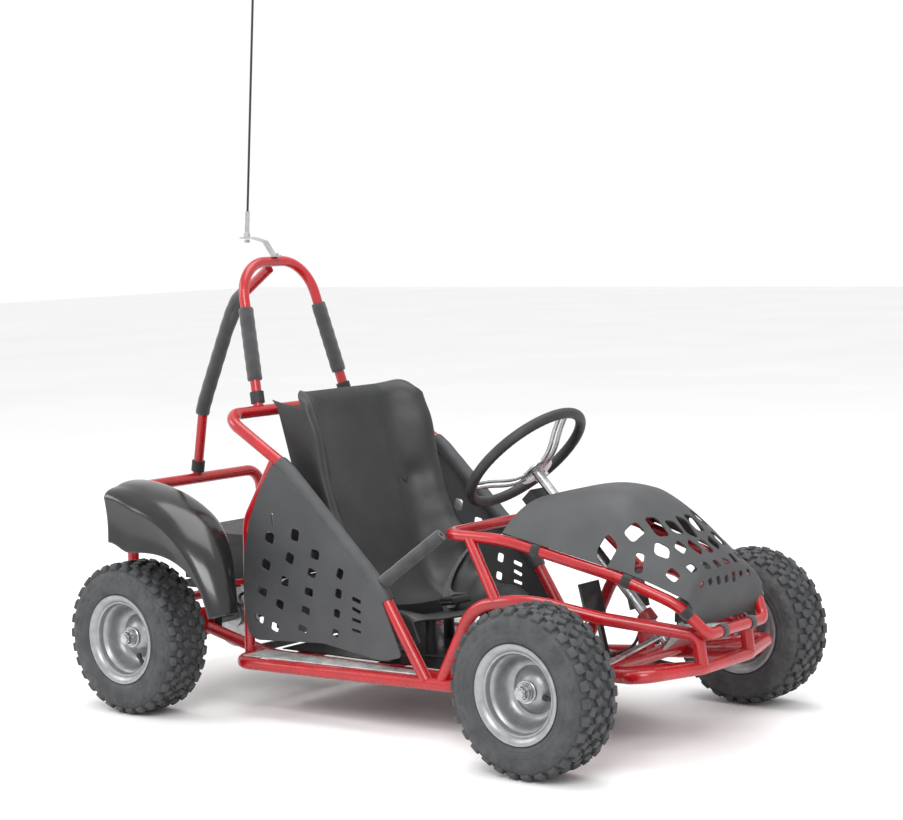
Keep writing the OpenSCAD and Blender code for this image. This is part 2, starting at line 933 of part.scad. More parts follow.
floor_frame();
side_frame_right();
side_frame_left();
nose_hoop();
mid_rail_right();
mid_rail_left();
hood_rail_right();
hood_rail_left();
dash_hoop();
shoulder_hoop();
rear_hoop();
roll_bar();
roll_brace();
roll_sockets();
pad_right();
pad_left();
pad_brace();
side_bar_right();
side_bar_left();
flag_bracket();
flag_whip();
seat_shell();
seat_belt();
belt_buckle();
side_panel_right();
side_panel_left();
hood();
hood_straps();
floor_pan();
tread_plate_right();
tread_plate_left();
mudguard_right();
mudguard_left();
battery_box();
dash_box();
motor();
drive_chain();
axle_carrier_right();
axle_carrier_left();
brake_caliper();
front_beam();
brake_cable();
throttle_pedal();
brake_pedal();
steering_wheel();
steering_column();
knuckle_right();
knuckle_left();
tie_rod_right();
tie_rod_left();
motor_pinion();
rear_axle();
rim_front_right();
rim_front_left();
rim_rear_right();
rim_rear_left();
tyre_front_right();
tyre_front_left();
tyre_rear_right();
tyre_rear_left();
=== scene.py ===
import bpy
import bmesh
import math
from mathutils import Matrix, Vector


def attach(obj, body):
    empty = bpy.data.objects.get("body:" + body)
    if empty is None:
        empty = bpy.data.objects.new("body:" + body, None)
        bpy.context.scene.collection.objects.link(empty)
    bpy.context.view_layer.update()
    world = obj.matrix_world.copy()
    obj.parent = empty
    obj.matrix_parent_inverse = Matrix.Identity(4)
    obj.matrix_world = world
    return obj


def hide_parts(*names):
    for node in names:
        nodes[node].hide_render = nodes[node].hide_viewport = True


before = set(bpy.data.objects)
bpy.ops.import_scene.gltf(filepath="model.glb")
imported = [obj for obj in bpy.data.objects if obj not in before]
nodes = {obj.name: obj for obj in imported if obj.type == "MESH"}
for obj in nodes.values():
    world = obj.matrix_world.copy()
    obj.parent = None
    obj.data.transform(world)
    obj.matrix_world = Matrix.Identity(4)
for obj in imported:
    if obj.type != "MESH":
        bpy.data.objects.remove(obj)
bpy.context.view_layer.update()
print("frame loaded:", len(nodes), "nodes")


# small helpers

def deselect():
    if bpy.context.object and bpy.context.object.mode != "OBJECT":
        bpy.ops.object.mode_set(mode="OBJECT")
    bpy.ops.object.select_all(action="DESELECT")


def only(obj):
    deselect()
    obj.select_set(True)
    bpy.context.view_layer.objects.active = obj


def settle(obj):  # bakes the place into the mesh
    only(obj)
    bpy.ops.object.transform_apply(location=True, rotation=True, scale=True)
    return obj


def modify(obj, kind, **settings):
    only(obj)
    mod = obj.modifiers.new(kind.lower(), kind)
    for key, value in settings.items():
        setattr(mod, key, value)
    bpy.ops.object.modifier_apply(modifier=mod.name)
    return obj


def bevelled(obj, width, segments=2, angle=35):
    return modify(obj, "BEVEL", width=width, segments=segments, limit_method="ANGLE",
                  angle_limit=math.radians(angle))


def outward(obj, merge=0.00001):  # closes seams and turns the faces out
    only(obj)
    bpy.ops.object.mode_set(mode="EDIT")
    bpy.ops.mesh.select_all(action="SELECT")
    bpy.ops.mesh.remove_doubles(threshold=merge)
    bpy.ops.mesh.normals_make_consistent(inside=False)
    bpy.ops.object.mode_set(mode="OBJECT")
    return obj


def joined(parts):
    deselect()
    for part in parts:
        part.select_set(True)
    bpy.context.view_layer.objects.active = parts[0]
    if len(parts) > 1:
        bpy.ops.object.join()
    return parts[0]


def copied(obj, matrix):
    new = obj.copy()
    new.data = obj.data.copy()
    bpy.context.scene.collection.objects.link(new)
    new.data.transform(matrix)
    if matrix.determinant() < 0:
        new.data.flip_normals()
    return new


def mirroredY(obj):
    return copied(obj, Matrix.Scale(-1, 4, (0, 1, 0)))


def ready(obj, name, body, material, smooth=35, replaces=()):
    obj.name = name
    obj.data.name = name
    obj.data.materials.clear()
    obj.data.materials.append(material)
    only(obj)
    bpy.ops.object.shade_smooth_by_angle(angle=math.radians(smooth))
    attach(obj, body)
    if replaces:
        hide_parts(*replaces)
    return obj


def mm(*values):
    return Vector([v / 1000 for v in values])


def smoothStep(t):
    t = min(1, max(0, t))
    return t * t * (3 - 2 * t)


def block(centre, size, turn=(0, 0, 0), bevel=0.002, segments=2):
    deselect()
    bpy.ops.mesh.primitive_cube_add(size=1, location=centre, rotation=turn)
    obj = bpy.context.object
    obj.scale = size
    settle(obj)
    return bevelled(obj, bevel, segments) if bevel else obj


def drum(a, b, radius, vertices=32, bevel=0.0):
    a, b = Vector(a), Vector(b)
    deselect()
    bpy.ops.mesh.primitive_cylinder_add(vertices=vertices, radius=radius, depth=(b - a).length,
                                        location=(a + b) / 2)
    obj = bpy.context.object
    obj.rotation_mode = "QUATERNION"
    obj.rotation_quaternion = (b - a).to_track_quat("Z", "Y")
    settle(obj)
    return bevelled(obj, bevel) if bevel else obj


def sheetOf(across, along, rule):  # a grid whose points follow a rule of u and v
    deselect()
    bpy.ops.mesh.primitive_grid_add(x_subdivisions=across, y_subdivisions=along, size=1)
    obj = bpy.context.object
    for vertex in obj.data.vertices:
        vertex.co = rule(vertex.co.x + 0.5, vertex.co.y + 0.5)
    return outward(obj)


def turned(profile, centre, axis, steps=96):  # closed profile of (radius, way along the axis)
    deselect()
    bpy.ops.mesh.primitive_circle_add(vertices=len(profile), radius=1)
    obj = bpy.context.object
    for vertex, (radius, way) in zip(obj.data.vertices, profile):
        vertex.co = (radius / 1000, 0, way / 1000)
    only(obj)
    bpy.ops.object.mode_set(mode="EDIT")
    bpy.ops.mesh.select_all(action="SELECT")
    bpy.ops.mesh.spin(steps=steps, angle=2 * math.pi, center=(0, 0, 0), axis=(0, 0, 1))
    bpy.ops.object.mode_set(mode="OBJECT")
    outward(obj)
    aim = Vector(axis).to_track_quat("Z", "Y").to_matrix().to_4x4()
    obj.data.transform(Matrix.Translation(centre) @ aim)
    return obj


def pathFrames(points, steps):  # evenly spaced points and their two side directions
    points = [Vector(p) for p in points]
    lengths = [(b - a).length for a, b in zip(points, points[1:])]
    total = sum(lengths)
    frames = []
    side = None
    for i in range(steps + 1):
        way = total * i / steps
        k = 0
        while k < len(lengths) - 1 and way > lengths[k]:
            way -= lengths[k]
            k += 1
        spot = points[k].lerp(points[k + 1], min(1, way / lengths[k]))
        ahead = (points[k + 1] - points[k]).normalized()
        if side is None:
            side = ahead.orthogonal().normalized()
        side = (side - ahead * side.dot(ahead)).normalized()
        frames.append((spot, ahead, side, ahead.cross(side)))
    return frames


def rounded(points, rounds=2):  # cuts the corners of an open path
    points = [Vector(p) for p in points]
    for _ in range(rounds):
        cut = [points[0]]
        for a, b in zip(points, points[1:]):
            cut += [a.lerp(b, 0.25), a.lerp(b, 0.75)]
        points = cut + [points[-1]]
    return points


def bentPath(corners, radii, pieces=8):  # corners joined by arcs, as a tube is bent
    points = [Vector(corners[0])]
    for k, radius in enumerate(radii, 1):
        before, corner, after = (Vector(corners[i]) for i in (k - 1, k, k + 1))
        a, b = (before - corner).normalized(), (after - corner).normalized()
        half = a.angle(b) / 2
        reach = radius / math.tan(half)
        middle = corner + (a + b).normalized() * radius / math.sin(half)
        start, end = corner + a * reach - middle, corner + b * reach - middle
        turn = start.angle(end)
        for i in range(pieces + 1):
            way = start * math.sin((1 - i / pieces) * turn) + end * math.sin(i / pieces * turn)
            points.append(middle + way / math.sin(turn))
    return points + [Vector(corners[-1])]


def pathBetween(points, start, end, steps=40):  # the stretch from one way along to another, in metres
    fine = 400
    frames = pathFrames(points, fine)
    total = sum((Vector(b) - Vector(a)).length for a, b in zip(points, points[1:]))
    marks = [round(fine * (start + (end - start) * i / steps) / total) for i in range(steps + 1)]
    return [frames[min(fine, max(0, mark))][0] for mark in marks]


def pipe(points, radius, steps=48, around=16):  # a round rod along a path, closed at both ends
    frames = pathFrames(points, steps)

    def rule(u, v):
        k = round(u * (steps + 2)) - 1
        spot, ahead, side, other = frames[min(steps, max(0, k))]
        r = 0 if k < 0 or k > steps else radius
        turn = 2 * math.pi * v
        return spot + r * (side * math.cos(turn) + other * math.sin(turn))
    return sheetOf(steps + 2, around, rule)


def foamSleeve(path, outer, bore, steps=44, around=26, seed=1):  # a sleeve with drawn-in ends and a glued seam
    frames = pathFrames(path, steps)
    ring = [("in", k) for k in (0, steps // 2, steps)]
    ring += [("out", k) for k in range(steps, -1, -1)] + [("in", 0)]
    unevenness = 0.0004

    def rule(u, v):
        kind, k = ring[round(u * (len(ring) - 1))]
        spot, ahead, side, other = frames[k]
        turn = 2 * math.pi * v
        r = bore
        if kind == "out":
            end = min(k, steps - k)
            r = outer * (0.93 + 0.07 * min(1, end / 1.0)) - unevenness
            r += unevenness * math.sin(k * 0.9 + seed) * math.sin(2 * turn + seed)
            r -= 0.0012 * math.exp(-((v - 0.3) / 0.012) ** 2)  # glued seam
        return spot + r * (side * math.cos(turn) + other * math.sin(turn))
    return sheetOf(len(ring) - 1, around, rule)


# materials

def hexColour(code):
    def channel(value):
        return value / 12.92 if value <= 0.04045 else ((value + 0.055) / 1.055) ** 2.4
    return [channel(int(code[i:i + 2], 16) / 255) for i in (0, 2, 4)] + [1]


def addNode(tree, kind, settings=None, links=None):
    node = tree.nodes.new(kind)
    for key, value in (settings or {}).items():
        if isinstance(key, int) or not hasattr(node, key):
            node.inputs[key].default_value = value
        else:
            setattr(node, key, value)
    for key, socket in (links or {}).items():
        tree.links.new(socket, node.inputs[key])
    return node


def newMaterial(name, **settings):
    mat = bpy.data.materials.new(name)
    mat.use_nodes = True
    tree = mat.node_tree
    shader = next(n for n in tree.nodes if n.type == "BSDF_PRINCIPLED")
    for key, value in settings.items():
        shader.inputs[key.replace("_", " ")].default_value = value
    coords = addNode(tree, "ShaderNodeTexCoord").outputs["Object"]
    return mat, tree, shader, coords


def mottle(tree, shader, coords, darker, lighter, size, detail=4):
    # soft change of colour over patches of the given size
    noise = addNode(tree, "ShaderNodeTexNoise", {"Scale": 1 / size, "Detail": detail}, {"Vector": coords})
    ramp = addNode(tree, "ShaderNodeValToRGB", {}, {"Fac": noise.outputs["Fac"]})
    ramp.color_ramp.elements[0].position = 0.3
    ramp.color_ramp.elements[1].position = 0.7
    ramp.color_ramp.elements[0].color = hexColour(darker)
    ramp.color_ramp.elements[1].color = hexColour(lighter)
    tree.links.new(ramp.outputs["Color"], shader.inputs["Base Color"])
    return ramp


def gloss(tree, shader, coords, low, high, size):
    noise = addNode(tree, "ShaderNodeTexNoise", {"Scale": 1 / size, "Detail": 3.0}, {"Vector": coords})
    reach = addNode(tree, "ShaderNodeMapRange", {"From Min": 0.3, "From Max": 0.7, "To Min": low, "To Max": high},
                    {"Value": noise.outputs["Fac"]})
    tree.links.new(reach.outputs["Result"], shader.inputs["Roughness"])


def relief(tree, shader, height, distance, strength=1.0):
    bump = addNode(tree, "ShaderNodeBump", {"Strength": strength, "Distance": distance}, {"Height": height})
    tree.links.new(bump.outputs["Normal"], shader.inputs["Normal"])
    return bump


def noiseHeight(tree, coords, size, detail=2.0):
    noise = addNode(tree, "ShaderNodeTexNoise", {"Scale": 1 / size, "Detail": detail}, {"Vector": coords})
    return noise.outputs["Fac"]


def powderCoat(name, darker, lighter, low, high):
    # powder coat, sprayed and baked: deep gloss with a faint orange peel of about 3 mm
    mat, tree, shader, coords = newMaterial(name, IOR=1.5, Coat_Weight=0.35, Coat_Roughness=0.12)
    mottle(tree, shader, coords, darker, lighter, 0.06)
    gloss(tree, shader, coords, low, high, 0.02)
    relief(tree, shader, noiseHeight(tree, coords, 0.004), 0.0001, 0.18)
    return mat


frameRed = powderCoat("redPowderCoat", "970D15", "AE121B", 0.24, 0.34)
satinBlack = powderCoat("blackPowderCoat", "141415", "1E1E20", 0.34, 0.5)


def mouldedPlastic(name, darker, lighter, rough, grain, depth):
    # polypropylene, injection moulded: satin with a fine leather grain
    mat, tree, shader, coords = newMaterial(name, IOR=1.49)
    mottle(tree, shader, coords, darker, lighter, 0.09)
    gloss(tree, shader, coords, rough - 0.05, rough + 0.06, 0.05)
    cells = addNode(tree, "ShaderNodeTexVoronoi", {"Scale": 1 / grain, "feature": "SMOOTH_F1"}, {"Vector": coords})
    relief(tree, shader, cells.outputs["Distance"], depth, 0.5)
    return mat


seatPlastic = mouldedPlastic("seatPolypropylene", "202122", "2A2B2C", 0.46, 0.0022, 0.0003)
coverPlastic = mouldedPlastic("coverPolythene", "3A3B3D", "444547", 0.6, 0.0016, 0.0002)
boxPlastic = mouldedPlastic("boxAbs", "1A1A1B", "232325", 0.5, 0.0015, 0.0002)


def glossPlastic():
    # polished black polythene: mirror-like with slow waves from the mould
    mat, tree, shader, coords = newMaterial("guardPolythene", IOR=1.5, Coat_Weight=0.25, Coat_Roughness=0.08)
    mottle(tree, shader, coords, "0C0C0D", "151516", 0.12)
    gloss(tree, shader, coords, 0.16, 0.26, 0.05)
    relief(tree, shader, noiseHeight(tree, coords, 0.05, 1.0), 0.0015, 0.4)
    return mat


guardGloss = glossPlastic()


def foamRubber():
    # closed-cell foam sleeve: matt skin with pores of about 1.5 mm
    mat, tree, shader, coords = newMaterial("foamSleeve", IOR=1.45, Sheen_Weight=0.25, Sheen_Roughness=0.6)
    mottle(tree, shader, coords, "2C2D2F", "38393B", 0.03)
    gloss(tree, shader, coords, 0.72, 0.86, 0.02)
    relief(tree, shader, noiseHeight(tree, coords, 0.0015, 3.0), 0.0004, 0.6)
    return mat


foamBlack = foamRubber()


def tyreCompound():
    # vulcanised tyre rubber: grey bloom, moulded micro texture
    mat, tree, shader, coords = newMaterial("tyreRubber", IOR=1.52)
    mottle(tree, shader, coords, "2F3032", "434446", 0.035, 6)
    gloss(tree, shader, coords, 0.55, 0.75, 0.015)
    relief(tree, shader, noiseHeight(tree, coords, 0.002, 4.0), 0.0004, 0.7)
    return mat


tyreRubber = tyreCompound()


def moulded(name, darker, lighter, low, high):
    # moulded rubber: satin skin with a fine bloom
    mat, tree, shader, coords = newMaterial(name, IOR=1.5)
    mottle(tree, shader, coords, darker, lighter, 0.02)
    gloss(tree, shader, coords, low, high, 0.01)
    relief(tree, shader, noiseHeight(tree, coords, 0.0012), 0.0002, 0.5)
    return mat


softRubber = moulded("mouldedRubber", "1B1B1C", "262627", 0.55, 0.7)
gripRubber = moulded("gripFoamRubber", "232325", "2D2D2F", 0.5, 0.62)
cableSheath = moulded("cableSheath", "0F0F10", "1A1A1B", 0.35, 0.5)


def metalOf(name, darker, lighter, low, high, grain, depth, metallic=1.0, stretch=1.0):
    mat, tree, shader, coords = newMaterial(name, Metallic=metallic)
    mottle(tree, shader, coords, darker, lighter, 0.015)
    gloss(tree, shader, coords, low, high, 0.008)
    lay = addNode(tree, "ShaderNodeMapping", {"Scale": (1, stretch, 1)}, {"Vector": coords})
    relief(tree, shader, noiseHeight(tree, lay.outputs["Vector"], grain, 3.0), depth, 0.4)
    return mat


# metallic paint over pressed steel
rimEnamel = metalOf("silverEnamel", "8E9092", "A0A2A4", 0.32, 0.44, 0.002, 0.0001, 0.75)
# bright zinc, slightly cloudy
zincSteel = metalOf("zincPlate", "A6A8AA", "C4C5C6", 0.24, 0.4, 0.001, 0.0001)
# steel with fine rings from the lathe
turnedSteel = metalOf("turnedSteel", "8C8D8F", "A3A4A6", 0.28, 0.42, 0.0006, 0.0001, 1.0, 8)
# oiled roller chain
chainSteel = metalOf("oiledChain", "4B4946", "6A6763", 0.35, 0.55, 0.0012, 0.0002)


def chequerPlate():
    # rolled aluminium with raised bars at a 14 mm pitch, turned each way by turns
    pitch = 0.014
    mat, tree, shader, coords = newMaterial("chequerPlate", Metallic=0.6)
    mottle(tree, shader, coords, "C4C5C5", "EDEDEC", 0.03)
    gloss(tree, shader, coords, 0.26, 0.42, 0.02)
    turn = addNode(tree, "ShaderNodeMapping", {"Rotation": (0, 0, math.radians(45))}, {"Vector": coords})
    cells = addNode(tree, "ShaderNodeTexVoronoi",
                    {"Scale": 1 / pitch, "Randomness": 0.0, "distance": "CHEBYCHEV"},
                    {"Vector": turn.outputs["Vector"]})
    bars = addNode(tree, "ShaderNodeTexWave", {"Scale": 0.5 / pitch / 3, "bands_direction": "DIAGONAL"},
                   {"Vector": coords})
    mix = addNode(tree, "ShaderNodeMath", {"operation": "MULTIPLY"},
                  {0: cells.outputs["Distance"], 1: bars.outputs["Fac"]})
    relief(tree, shader, mix.outputs["Value"], 0.0012, 0.9)
    return mat


treadPlate = chequerPlate()


def webbing(name, darker, lighter):
    # polyester webbing: 1.2 mm ribs of weave along and across
    mat, tree, shader, coords = newMaterial(name, Sheen_Weight=0.3, IOR=1.5)
    mottle(tree, shader, coords, darker, lighter, 0.02)
    gloss(tree, shader, coords, 0.7, 0.85, 0.02)
    warp, weft = (addNode(tree, "ShaderNodeTexWave", {"Scale": 0.31 / 0.0012, "bands_direction": way},
                          {"Vector": coords}) for way in "XY")
    weave = addNode(tree, "ShaderNodeMath", {"operation": "MAXIMUM"},
                    {0: warp.outputs["Fac"], 1: weft.outputs["Fac"]})
    relief(tree, shader, weave.outputs["Value"], 0.0004, 0.8)
    return mat


beltWebbing = webbing("beltWebbing", "1E1F21", "2B2C2E")
strapWebbing = webbing("strapWebbing", "17181A", "222325")


def spindlePaint():
    # red powder coat on the knuckle, bare zinc on the spindle and its nut
    mat, tree, shader, coords = newMaterial("knucklePaint", IOR=1.5)
    split = addNode(tree, "ShaderNodeSeparateXYZ", {}, {"Vector": coords})
    side = addNode(tree, "ShaderNodeMath", {"operation": "ABSOLUTE"}, {0: split.outputs["Y"]})
    paintEnd = 0.303  # way out from the middle of the kart
    bare = addNode(tree, "ShaderNodeMath", {"operation": "GREATER_THAN", 1: paintEnd}, {0: side.outputs["Value"]})
    noise = noiseHeight(tree, coords, 0.02)
    sockets = [("Base Color", hexColour("9F0E17"), hexColour("B2B4B6")), ("Metallic", (0, 0, 0, 1), (1, 1, 1, 1)),
               ("Roughness", (0.28, 0.28, 0.28, 1), (0.36, 0.36, 0.36, 1))]
    for socket, painted, plain in sockets:
        mix = addNode(tree, "ShaderNodeMix", {"data_type": "RGBA", 6: painted, 7: plain}, {0: bare.outputs["Value"]})
        tree.links.new(mix.outputs[2], shader.inputs[socket])
    relief(tree, shader, noise, 0.0003, 0.3)
    return mat


knucklePaint = spindlePaint()
print("materials made")


# the kept CAD parts get their finishes

def finish(material, *names):
    for name in names:
        nodes[name].data.materials.clear()
        nodes[name].data.materials.append(material)


finish(frameRed, "floor_frame", "side_frame_right", "side_frame_left", "nose_hoop", "mid_rail_right",
       "mid_rail_left", "hood_rail_right", "hood_rail_left", "dash_hoop", "shoulder_hoop", "rear_hoop", "roll_bar",
       "roll_brace", "axle_carrier_right", "axle_carrier_left", "front_beam")
finish(knucklePaint, "knuckle_right", "knuckle_left")
finish(zincSteel, "flag_bracket", "brake_caliper", "steering_column", "tie_rod_right", "tie_rod_left")
finish(turnedSteel, "rear_axle", "motor_pinion")
finish(chainSteel, "drive_chain")
finish(satinBlack, "floor_pan", "motor", "throttle_pedal", "brake_pedal")
finish(cableSheath, "brake_cable", "flag_whip")
finish(softRubber, "roll_sockets")
finish(boxPlastic, "battery_box", "dash_box")
finish(treadPlate, "tread_plate_right", "tread_plate_left")


# wheels

wheel = {"axleX": 515, "height": 160, "frontY": 372, "rearY": 384}
# profiles are pairs of radius and way along the axle, in mm
tyre = {"pitches": 30, "crown": 150.2, "lugHeight": 9.0, "shoulderHeight": 4.5, "sunk": 0.3,
        "sidewall": [(93, 45), (94.5, 52), (100, 56.5), (110, 58.6), (122, 59), (133, 57.6), (142, 53), (147.5, 46),
                     (150, 38), (151, 24), (151.5, 10)],
        "bead": [(82, -43), (80, -30), (80, 30), (82, 43)],
        "ribs": [(101, 56.6), (113, 58.4)]}
# rows of lugs: way across, lean, size round and across, turn, shift in pitches, drop below the crown
tyreRows = [
    {"across": 11, "lean": 3, "size": (17, 17), "turn": 24, "shift": 0.0, "drop": 0.0},
    {"across": 30, "lean": 9, "size": (19, 15), "turn": -16, "shift": 0.5, "drop": 0.6},
    {"across": 44.5, "lean": 34, "size": (21, 17), "turn": 4, "shift": 0.0, "drop": 3.4},
    {"across": 53.5, "lean": 66, "size": (11, 15), "turn": 0, "shift": 0.5, "drop": 15.5},
    {"across": 56.5, "lean": 78, "size": (14, 12), "turn": 0, "shift": 0.0, "drop": 21.5},
]


def lugBlock(size, height):
    obj = block((0, 0, 0), (size[0] / 1000, size[1] / 1000, height / 1000), bevel=0)
    only(obj)
    bpy.ops.object.mode_set(mode="EDIT")
    bpy.ops.mesh.select_all(action="DESELECT")
    bpy.ops.object.mode_set(mode="OBJECT")
    for face in obj.data.polygons:
        face.select = face.normal.z > 0.9
    bpy.ops.object.mode_set(mode="EDIT")
    bpy.ops.transform.resize(value=(0.82, 0.86, 1))
    bpy.ops.object.mode_set(mode="OBJECT")
    return bevelled(obj, 0.0011, 1)


def makeTyre():
    s = tyre["sidewall"]
    profile = s + [(r, -y) for r, y in reversed(s)] + tyre["bead"]
    body = turned(profile, (0, 0, 0), (0, 0, 1), 120)
    ribs = [turned([(r, y), (r + 1.6, y + 1.1), (r + 3.2, y)], (0, 0, 0), (0, 0, 1)) for r, y in tyre["ribs"]]
    ribs += [turned([(r, -y), (r + 3.2, -y), (r + 1.6, -y - 1.1)], (0, 0, 0), (0, 0, 1)) for r, y in tyre["ribs"]]
    mesh = bmesh.new()
    for row in tyreRows:
        height = tyre["lugHeight"] if row["lean"] < 60 else tyre["shoulderHeight"]
        lug = lugBlock(row["size"], height)
        for side in (1, -1):
            for k in range(tyre["pitches"]):
                turn = 2 * math.pi * (k + row["shift"] + (0.25 if side < 0 else 0)) / tyre["pitches"]
                radius = tyre["crown"] + height / 2 - row["drop"] - tyre["sunk"]
                place = (Matrix.Rotation(turn, 4, "Z") @ Matrix.Translation(mm(radius, 0, side * row["across"]))
                         @ Matrix.Rotation(-side * math.radians(row["lean"]), 4, "Y")
                         @ Matrix.Rotation(math.radians(90), 4, "Y")
                         @ Matrix.Rotation(math.radians(side * row["turn"] + 90), 4, "Z"))
                start = len(mesh.verts)
                mesh.from_mesh(lug.data)
                mesh.verts.ensure_lookup_table()
                for vertex in mesh.verts[start:]:
                    vertex.co = place @ vertex.co
        bpy.data.objects.remove(lug)
    data = bpy.data.meshes.new("lugs")
    mesh.to_mesh(data)
    mesh.free()
    lugs = bpy.data.objects.new("lugs", data)
    bpy.context.scene.collection.objects.link(lugs)
    return joined([body, lugs] + ribs)


def makeRim(bore):  # the dished outer half with its hub, and the plain inner flange
    outer = [(72, -40), (73, 41), (75, 45), (83, 47.5), (90, 50), (92.6, 50.6), (94, 52), (93.2, 54.2), (90.5, 54.9),
             (85, 52.8), (80, 49), (77, 44), (75.5, 38), (73.5, 34), (70, 31.5), (66.5, 27), (64, 18), (61.5, 8),
             (57.5, 1.5), (52, -3.5), (46, -4.5), (41, -1.5), (38, 3), (34, 8), (29, 11.5), (24.5, 14), (21, 15.5),
             (18.6, 16), (18.2, 26), (bore, 26), (bore, -20), (18.2, -20), (20, 10), (28, 7.5), (36, -1), (43, -8),
             (53, -7.5), (60, -3), (64.5, 6), (67.5, 17), (69.5, 24), (69.5, -36)]
    flange = [(70, -36), (73, -41), (75, -45), (83, -47.5), (90, -50), (92.6, -50.6), (94, -52), (93.2, -54.2),
              (90.5, -54.9), (85, -52.8), (80, -49), (76, -44), (72.5, -40), (72, -36)]
    return joined([turned(outer, (0, 0, 0), (0, 0, 1)), turned(flange, (0, 0, 0), (0, 0, 1))])


def hubSet(tip):  # washer, castle nut and axle end
    nut = drum(mm(0, 0, 28), mm(0, 0, tip - 3), 0.0135, 6, 0.0012)
    crown = drum(mm(0, 0, tip - 4), mm(0, 0, tip), 0.0098, 24, 0.0008)
    washer = turned([(9, 26.2), (15, 26.2), (15.2, 27.2), (15, 28.4), (9, 28.4)], (0, 0, 0), (0, 0, 1), 48)
    pin = drum(mm(-13, 0, tip - 1.8), mm(13, 0, tip - 1.8), 0.0012, 10)
    seal = turned([(16.5, 19), (21.5, 19.2), (22.2, 20.6), (21, 22), (16.5, 22.4)], (0, 0, 0), (0, 0, 1), 48)
    return joined([nut, crown, washer, pin, seal])


def valveStem(turn):
    stem = drum(mm(74, 0, 16), mm(46, 0, 19), 0.0042, 16, 0.001)
    cap = drum(mm(47, 0, 18.9), mm(38, 0, 19.9), 0.0052, 16, 0.0012)
    obj = joined([stem, cap])
    obj.data.transform(Matrix.Rotation(turn, 4, "Z"))
    return obj


axleClear = {"front": 8.25, "rear": 12.6, "tip": 42.4}  # bore radii and the axle's end, in mm
tyreModel = makeTyre()
frontRim = makeRim(axleClear["front"])
rearRim = makeRim(axleClear["rear"])
hubModel = hubSet(axleClear["tip"])
print("tyre:", len(tyreModel.data.polygons), "faces")
# corner, wheel's body, front or rear, left or right, turn of the valve in degrees
corners = [
    ("front_right", "wheel_front_r", 1, -1, -8), ("front_left", "wheel_front_l", 1, 1, 20),
    ("rear_right", "rear_axle_set", -1, -1, -62), ("rear_left", "rear_axle_set", -1, 1, 140),
]
for name, body, end, side, valveTurn in corners:
    y = wheel["frontY"] if end > 0 else wheel["rearY"]
    tilt = Matrix.Rotation(math.radians(90 if side < 0 else -90), 4, "X")
    place = Matrix.Translation(mm(end * wheel["axleX"], side * y, wheel["height"])) @ tilt
    ready(copied(tyreModel, place), "tyreOf_" + name, body, tyreRubber, 40, ["tyre_" + name])
    model = frontRim if end > 0 else rearRim
    ready(copied(model, place), "rimOf_" + name, body, rimEnamel, 40, ["rim_" + name])
    stem = valveStem(math.radians(valveTurn))
    ready(copied(stem, place), "valveOf_" + name, body, softRubber, 40)
    bpy.data.objects.remove(stem)
    nutBody = body if end < 0 else ("knuckle_r" if side < 0 else "knuckle_l")
    ready(copied(hubModel, place), "nutOf_" + name, nutBody, zincSteel, 30)
for model in (tyreModel, frontRim, rearRim, hubModel):
    bpy.data.objects.remove(model)
print("wheels done")


# seat

# line: the middle of the shell from the top of the back to the front edge, in mm
# crest and fold: where the bolster is highest and where the outer wall starts, as shares of the half width
# reach: the direction is averaged over this many steps, so the high bolster stays smooth in the bend
seat = {"wall": 0.005, "across": 96, "along": 72, "half": 0.187, "flare": 0.007, "corner": 0.040,
        "length": 0.678, "steps": 200, "crest": 0.85, "fold": 0.89, "flat": 0.46, "reach": 22,
        "edgeRoll": 0.010, "edge": 0.03, "dish": 0.010, "dent": 0.011,
        "line": [(-258, 662), (-236, 590), (-206, 488), (-168, 345), (-146, 268), (-112, 219), (-62, 200),
                 (-8, 199), (60, 211), (92, 219)]}
# height of the side bolster above the middle, at ways along the shell
seatBolster = [(0, 0.034), (0.07, 0.052), (0.15, 0.058), (0.28, 0.050), (0.38, 0.052), (0.46, 0.062),
               (0.56, 0.084), (0.68, 0.076), (0.8, 0.050), (0.9, 0.024), (1, 0.006)]


def between(table, way):  # smooth reading of a table
    for (a, low), (b, high) in zip(table, table[1:]):
        if way <= b:
            return low + (high - low) * smoothStep((way - a) / (b - a))
    return table[-1][1]


seatLine = rounded([mm(x, 0, z) for x, z in seat["line"]], 3)
seatFrames = pathFrames(seatLine, seat["steps"])


